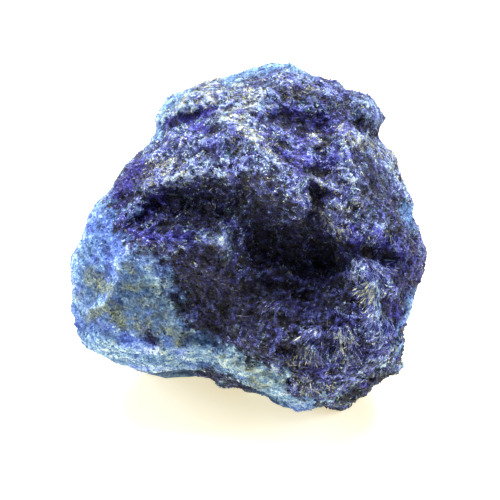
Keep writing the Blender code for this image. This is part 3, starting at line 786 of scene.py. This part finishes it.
def fibre_lines(rng, tree, path, heading, turn, reach, count):
    """The fibres of one fan as rows of points that follow the skin."""
    shortest, longest = reach
    share = rng.random(count)
    roots = along_path(path, share) + rng.normal(0.0, 0.35, (count, 2))
    turns = np.radians(heading + turn * (share - 0.5) + rng.normal(0.0, FIBRE_SPREAD, count))
    lengths = rng.uniform(shortest, longest, count)
    steps = np.linspace(0.0, 1.0, FIBRE_STEPS)
    bends = turns[:, None] + rng.normal(0.0, FIBRE_BEND, (count, 1)) * steps
    ways = np.stack((np.cos(bends), np.sin(bends)), axis=2)
    starts = roots + ways[:, 0] * (rng.random(count) * 0.4 * longest)[:, None]
    spots = starts[:, None] + ways * (steps * lengths[:, None])[:, :, None]
    lines = on_display_face(tree, spots.reshape(-1, 2)).reshape(count, FIBRE_STEPS, 3)
    jumps = np.linalg.norm(np.diff(lines, axis=1), axis=2).max(axis=1)
    return lines[jumps < 0.9 * lengths / (FIBRE_STEPS - 1) + 0.6]


def tube_faces(last):
    """The triangles of a three-sided tube from point 0 to its last point."""
    faces = []
    for corner in range(3):
        following = (corner + 1) % 3
        here, there = 1 + corner, 1 + following
        faces += [(0, there, here), (last, last - 3 + corner, last - 3 + following)]
        for ring in range(0, last - 4, 3):
            faces += [(here + ring, there + ring, there + ring + 3),
                      (here + ring, there + ring + 3, here + ring + 3)]
    return np.array(faces)


def fibre_tubes(lines, widths):
    """Closed three-sided tubes round rows of points, pointed at both ends."""
    count, steps, _xyz = lines.shape
    out = face_axes()[2]
    way = unit(lines[:, -1] - lines[:, 0])
    side = unit(np.cross(way, out))
    other = np.cross(way, side)
    lift = FIBRE_LIFT * np.sin(np.linspace(0.15, math.pi, steps))
    middles = lines + out * lift[:, None]
    rings = []
    for corner in range(3):
        turn = 2.0 * math.pi * corner / 3.0
        arm = side * math.cos(turn) + other * math.sin(turn)
        rings.append(middles[:, 1:-1] + (0.5 * widths)[:, None, None] * arm[:, None])
    points = np.concatenate((lines[:, :1], np.stack(rings, axis=2).reshape(count, -1, 3),
                             lines[:, -1:]), axis=1)
    first = np.arange(count)[:, None, None] * points.shape[1]
    return points, (tube_faces(points.shape[1] - 1)[None] + first).reshape(-1, 3)


def fan_piece(rng, skin, material):
    """One piece of all the fans of long fibres."""
    tree = bvhtree.BVHTree.FromPolygons(
        vertex_array(skin, "co", 1.0 / MM).tolist(), [face.vertices[:] for face in skin.polygons],
    )
    lines, pale, cream = [], [], []
    for *fan, paleness, creaminess in FANS:
        found = fibre_lines(rng, tree, *fan)
        lines.append(found)
        pale += [paleness] * len(found)
        cream += [creaminess] * len(found)
    lines = np.concatenate(lines)
    widths = FIBRE_WIDTH * rng.uniform(0.6, 1.4, len(lines))
    points, faces = fibre_tubes(lines, widths)
    bands = noise_at(lines[:, 0], BAND_SIZE, 10, 2)
    hue = pick_hues(rng, np.array(cream) + 0.8 * bands, 0.4 - 0.8 * bands)
    tint = np.array(pale) + 0.7 * bands + rng.normal(0.0, 0.2, len(lines))
    shades = {"tint": tint, "hue": hue, "vivid": 0.4 * rng.random(len(lines)) * (hue < 1.0)}
    crystal_piece("fibre_fans", points, faces, shades, material)


# ---- Materials ---------------------------------------------------------------------------


def new_material(name, roughness, specular=0.5):
    """A material with its node tree and its shader."""
    material = bpy.data.materials.new(name)
    material.use_nodes = True
    shader = material.node_tree.nodes["Principled BSDF"]
    shader.inputs["Roughness"].default_value = roughness
    shader.inputs["Specular IOR Level"].default_value = specular
    return material, material.node_tree, shader


def mask_output(tree, name):
    """The socket that reads one of the masks stored on the mesh."""
    reader = tree.nodes.new("ShaderNodeAttribute")
    reader.attribute_name = name
    return reader.outputs["Fac"]


def mask_times(tree, name, factor):
    """One of the masks stored on the mesh, times a number."""
    return combine(tree, "MULTIPLY", mask_output(tree, name), factor)


def ramp(tree, value, stops):
    """Colours along a value, from (place, (red, green, blue)) stops."""
    node = tree.nodes.new("ShaderNodeValToRGB")
    elements = node.color_ramp.elements
    for index, (place, colour) in enumerate(stops):
        element = elements[index] if index < 2 else elements.new(place)
        element.position = place
        element.color = (*colour, 1.0)
    tree.links.new(value, node.inputs["Fac"])
    return node.outputs["Color"]


def mix_colours(tree, share, first, second):
    """A blend of two colour sockets."""
    node = tree.nodes.new("ShaderNodeMix")
    node.data_type = "RGBA"
    tree.links.new(share, node.inputs["Factor"])
    tree.links.new(first, node.inputs["A"])
    tree.links.new(second, node.inputs["B"])
    return node.outputs["Result"]


def new_group(name, inputs, output, kind):
    """A shader node group with number inputs and one output, and the sockets at its two ends."""
    group = bpy.data.node_groups.new(name, "ShaderNodeTree")
    for label, value in inputs:
        socket = group.interface.new_socket(label, in_out="INPUT", socket_type="NodeSocketFloat")
        socket.default_value = value
    group.interface.new_socket(output, in_out="OUTPUT", socket_type=kind)
    entry = group.nodes.new("NodeGroupInput")
    leave = group.nodes.new("NodeGroupOutput")
    return group, entry.outputs, leave.inputs[output]


def place_group(tree, name, build, output, inputs):
    """One of the groups placed in a material, with each input a socket or a number."""
    node = tree.nodes.new("ShaderNodeGroup")
    node.node_tree = bpy.data.node_groups.get(name) or build(name)
    for label, value in inputs.items():
        if isinstance(value, (int, float)):
            node.inputs[label].default_value = value
        else:
            tree.links.new(value, node.inputs[label])
    return node.outputs[output]


def mottle_group(name):
    """Noise in the specimen's own space: lumps of a size in millimetres, flattened into layers."""
    group, entry, leave = new_group(
        name, (("Size", 1.0), ("Detail", 4.0), ("Warp", 0.0), ("Layering", 1.0)), "Value",
        "NodeSocketFloat",
    )
    place = group.nodes.new("ShaderNodeTexCoord")
    scale = group.nodes.new("ShaderNodeMath")
    scale.operation = "DIVIDE"
    scale.inputs[0].default_value = 1.0 / MM
    squash = group.nodes.new("ShaderNodeCombineXYZ")
    squash.inputs["X"].default_value = 1.0
    squash.inputs["Y"].default_value = 1.0
    layered = group.nodes.new("ShaderNodeVectorMath")
    layered.operation = "MULTIPLY"
    lumps = group.nodes.new("ShaderNodeTexNoise")
    group.links.new(entry["Size"], scale.inputs[1])
    group.links.new(entry["Layering"], squash.inputs["Z"])
    group.links.new(place.outputs["Object"], layered.inputs[0])
    group.links.new(squash.outputs["Vector"], layered.inputs[1])
    group.links.new(scale.outputs[0], lumps.inputs["Scale"])
    group.links.new(entry["Detail"], lumps.inputs["Detail"])
    group.links.new(entry["Warp"], lumps.inputs["Distortion"])
    group.links.new(layered.outputs["Vector"], lumps.inputs["Vector"])
    group.links.new(lumps.outputs["Fac"], leave)
    return group


def mottle(tree, size, detail=4.0, warp=0.0, layering=1.0):
    """The mottle group placed in a material."""
    return place_group(tree, "mineral mottle", mottle_group, "Value", {
        "Size": size, "Detail": detail, "Warp": warp, "Layering": layering,
    })


def rind_group(name):
    """The rind's blues along a value, and its yellowish stains."""
    inputs = (("Value", 0.5), ("Tone", 0.0), ("Stain", 0.0), ("Speckle", 0.5))
    group, entry, leave = new_group(name, inputs, "Color", "NodeSocketColor")
    greenish = ramp(group, entry["Value"], [
        (0.0, (0.02, 0.045, 0.12)), (0.2, (0.04, 0.09, 0.22)), (0.38, (0.07, 0.15, 0.33)),
        (0.56, (0.135, 0.25, 0.43)), (0.75, (0.27, 0.43, 0.55)), (1.0, (0.64, 0.75, 0.68)),
    ])
    cornflower = ramp(group, entry["Value"], [
        (0.0, (0.016, 0.026, 0.15)), (0.38, (0.065, 0.125, 0.46)), (0.56, (0.125, 0.21, 0.6)),
        (0.75, (0.26, 0.38, 0.72)), (1.0, (0.56, 0.66, 0.8)),
    ])
    clean = mix_colours(group, entry["Tone"], greenish, cornflower)
    stained = ramp(group, entry["Speckle"], [
        (0.35, (0.035, 0.06, 0.09)), (0.5, (0.11, 0.15, 0.12)), (0.65, (0.28, 0.31, 0.2)),
    ])
    group.links.new(mix_colours(group, entry["Stain"], clean, stained), leave)
    return group


def rind_colours(tree, value, speckle):
    """The rind's colours placed in a material."""
    return place_group(tree, "rind colours", rind_group, "Color", {
        "Value": value, "Tone": mask_output(tree, "tone"), "Stain": mask_output(tree, "stain"),
        "Speckle": speckle,
    })


def combine(tree, operation, first, second):
    """A sum or product of two values, each a socket or a number."""
    node = tree.nodes.new("ShaderNodeMath")
    node.operation = operation
    for socket, value in zip(node.inputs, (first, second)):
        if isinstance(value, (int, float)):
            socket.default_value = value
        else:
            tree.links.new(value, socket)
    return node.outputs[0]


def bump(tree, shader, height, distance):
    """Small relief on the shader, this many millimetres deep."""
    node = tree.nodes.new("ShaderNodeBump")
    node.inputs["Distance"].default_value = distance * MM
    tree.links.new(height, node.inputs["Height"])
    tree.links.new(node.outputs["Normal"], shader.inputs["Normal"])


def bare_azurite(tree, fine):
    """The skin under the crystals: dark, clear where it is vivid and frosted where it is teal."""
    # Painted shade and highlight: the skin is darker in its pits and lighter on its ridges, and
    # paler where frosted.
    light = combine(tree, "ADD", combine(tree, "MULTIPLY", fine, 0.6),
                    mask_times(tree, "proud", 0.5))
    light = combine(tree, "ADD", light, mask_times(tree, "frost_and_highlight", 0.22))
    dark = ramp(tree, light, [
        (0.4, (0.002, 0.002, 0.005)), (0.6, (0.006, 0.005, 0.03)),
        (0.74, (0.02, 0.022, 0.14)), (0.88, (0.08, 0.1, 0.34)), (1.0, (0.3, 0.38, 0.55)),
    ])
    clear = ramp(tree, light, [
        (0.4, (0.004, 0.003, 0.02)), (0.7, (0.02, 0.017, 0.2)), (1.0, (0.12, 0.13, 0.55)),
    ])
    frosted = ramp(tree, light, [
        (0.4, (0.004, 0.003, 0.007)), (0.6, (0.014, 0.014, 0.042)),
        (0.76, (0.04, 0.047, 0.17)), (0.88, (0.12, 0.15, 0.37)), (1.0, (0.38, 0.45, 0.58)),
    ])
    azurite = mix_colours(tree, mask_output(tree, "teal"), dark, frosted)
    return mix_colours(tree, mask_output(tree, "vivid"), azurite, clear)


def layered_rind(tree, fine):
    """The rind on the skin: flat layers, specks, pale ridges, bleached places and painted light on
    the lip's shaded underside.
    """
    coarse = combine(tree, "MULTIPLY", mottle(tree, 2.2, 6.0, 0.5, 2.6), 1.35)
    specks = combine(tree, "MULTIPLY", mottle(tree, 0.28, 3.0), 1.1)
    value = combine(tree, "ADD", combine(tree, "ADD", coarse, specks),
                    mask_times(tree, "proud", 0.36))
    # Paler where bleached, and painted light where the lip faces down into shade.
    value = combine(tree, "ADD", value, mask_times(tree, "bleach_and_light", 0.42))
    return rind_colours(tree, combine(tree, "SUBTRACT", value, 1.1), fine)


def skin_material():
    """Azurite and rind, each where its mask says."""
    material, tree, shader = new_material("azurite_and_rind", 0.65, 0.25)
    fine = mottle(tree, 0.35, 5.0, 0.5)
    colour = mix_colours(tree, mask_output(tree, "rind"), bare_azurite(tree, fine),
                         layered_rind(tree, fine))
    tree.links.new(colour, shader.inputs["Base Color"])
    bump(tree, shader, mottle(tree, 0.22, 3.0), 0.12)
    return material


def crumb_material():
    """Crumbs of rind."""
    material, tree, shader = new_material("rind_crumbs", 0.65, 0.25)
    tint = mask_output(tree, "tint")
    colour = rind_colours(tree, tint, tint)
    tree.links.new(colour, shader.inputs["Base Color"])
    return material


def crystal_material():
    """Azurite crystals, from almost black to frosted white."""
    material, tree, shader = new_material("azurite_crystals", 0.3, 0.35)
    tint = mask_output(tree, "tint")
    lilac = ramp(tree, tint, [
        (0.0, (0.003, 0.002, 0.008)), (0.25, (0.014, 0.012, 0.048)), (0.5, (0.055, 0.068, 0.27)),
        (0.75, (0.2, 0.26, 0.62)), (1.0, (0.52, 0.62, 0.88)),
    ])
    teal = ramp(tree, tint, [
        (0.0, (0.002, 0.003, 0.008)), (0.3, (0.017, 0.03, 0.058)), (0.55, (0.08, 0.14, 0.23)),
        (0.8, (0.28, 0.43, 0.54)), (1.0, (0.6, 0.76, 0.76)),
    ])
    cream = ramp(tree, tint, [
        (0.0, (0.004, 0.004, 0.006)), (0.35, (0.065, 0.068, 0.07)), (0.65, (0.29, 0.32, 0.22)),
        (1.0, (0.76, 0.81, 0.55)),
    ])
    clear = ramp(tree, tint, [
        (0.0, (0.004, 0.003, 0.03)), (0.4, (0.04, 0.035, 0.34)), (1.0, (0.26, 0.29, 0.8)),
    ])
    hue = mask_output(tree, "hue")
    cool = mix_colours(tree, combine(tree, "GREATER_THAN", hue, 0.25), lilac, teal)
    plain = mix_colours(tree, combine(tree, "GREATER_THAN", hue, 0.75), cool, cream)
    colour = mix_colours(tree, mask_output(tree, "vivid"), plain, clear)
    tree.links.new(colour, shader.inputs["Base Color"])
    return material


# ---- Stage -------------------------------------------------------------------------------

CAMERA_AWAY = 0.5       # metres
CAMERA_LENS = 257.1
AIM_DROP = 1.96         # mm below the display face's middle, along its slope
LIGHTS_AIM = (0.0, 0.0, 0.02)
# Soft square lights: (name, place and size in metres, watts).
LIGHTS = [
    ("overhead", (0.0, 0.12, 0.45), 0.5, 7.0),
    ("behind", (0.0, 0.5, 0.3), 0.4, 3.0),
    ("left", (-0.5, 0.0, 0.2), 0.35, 3.5),
    ("right", (0.5, 0.0, 0.2), 0.35, 3.5),
]


def add_camera():
    """A camera square to the display face."""
    lens = bpy.data.cameras.new("camera")
    lens.lens = CAMERA_LENS
    lens.sensor_width = 36.0
    lens.clip_start = 0.01
    camera = bpy.data.objects.new("camera", lens)
    bpy.context.scene.collection.objects.link(camera)
    _right, up, out = (Vector(row) for row in face_axes())
    aim = (Vector(FACE_MIDDLE) - up * AIM_DROP) * MM
    camera.location = aim + out * CAMERA_AWAY
    camera.rotation_mode = "QUATERNION"
    camera.rotation_quaternion = (-out).to_track_quat("-Z", "Y")
    bpy.context.scene.camera = camera


def add_light(name, place, size, watts):
    """A soft square light that faces the specimen."""
    light = bpy.data.lights.new(name, "AREA")
    light.size = size
    light.energy = watts
    lamp = bpy.data.objects.new(name, light)
    lamp.location = place
    lamp.rotation_mode = "QUATERNION"
    lamp.rotation_quaternion = (Vector(LIGHTS_AIM) - lamp.location).to_track_quat("-Z", "Y")
    bpy.context.scene.collection.objects.link(lamp)


def add_stage():
    """A pale floor, a white surround and soft studio lights."""
    world = bpy.data.worlds.new("white surround")
    bpy.context.scene.world = world
    world.use_nodes = True
    world.node_tree.nodes["Background"].inputs["Color"].default_value = (1.0, 1.0, 1.0, 1.0)
    world.node_tree.nodes["Background"].inputs["Strength"].default_value = 0.25
    for light in LIGHTS:
        add_light(*light)
    mesh = bpy.data.meshes.new("floor")
    shape = bmesh.new()
    bmesh.ops.create_grid(shape, x_segments=1, y_segments=1, size=1.5)
    shape.to_mesh(mesh)
    shape.free()
    material, _tree, shader = new_material("pale floor", 0.8)
    shader.inputs["Base Color"].default_value = (0.6, 0.6, 0.6, 1.0)
    shader.inputs["Emission Color"].default_value = (1.0, 0.88, 0.56, 1.0)
    shader.inputs["Emission Strength"].default_value = 0.72
    mesh.materials.append(material)
    floor = bpy.data.objects.new("floor", mesh)
    bpy.context.scene.collection.objects.link(floor)


def main():
    rng = np.random.default_rng(29)
    add_camera()
    add_stage()
    bpy.context.scene.view_settings.view_transform = "Standard"
    skin = fine_skin()
    masks = roughen(skin)
    points = vertex_array(skin, "co", 1.0 / MM)
    face = (points - FACE_MIDDLE) @ face_axes().T
    mat = 1.0 - masks["bare"]
    middles = spray_middles(rng, points[mat > 0.5])
    crystal = crystal_material()
    right, upper = face[:, 0] >= PIECES_SPLIT[0], face[:, 1] > PIECES_SPLIT[1]
    for name, share in (
        ("needles_upper_left", upper & ~right), ("needles_upper_right", upper & right),
        ("needles_lower_left", ~upper & ~right), ("needles_lower_right", ~upper & right),
    ):
        needle_piece(name, rng, skin, mat * share, masks, middles, crystal)
    for name, share in (("shards_left", ~right), ("shards_right", right)):
        grain_piece(name, rng, skin, mat * share, masks, SPLINTERS, crystal_shades, crystal)
    away, _left = path_distance(face[:, :2], DRUSE_LINE)
    druse = 1.0 * (away < DRUSE_REACH) * (face[:, 2] > DRUSE_BACK)
    grain_piece("druse_blocks", rng, skin, druse, masks, DRUSE_BLOCKS, druse_shades, crystal)
    front = 0.15 + 0.85 * smooth_step(face[:, 2] / 4.0 + 1.0)
    grain_piece("rind_crumbs", rng, skin, masks["rind"] * front, masks, RIND_CRUMBS,
                rind_shades, crumb_material())
    fan_piece(rng, skin, crystal)
    add_piece("azurite_skin", skin, skin_material())


main()
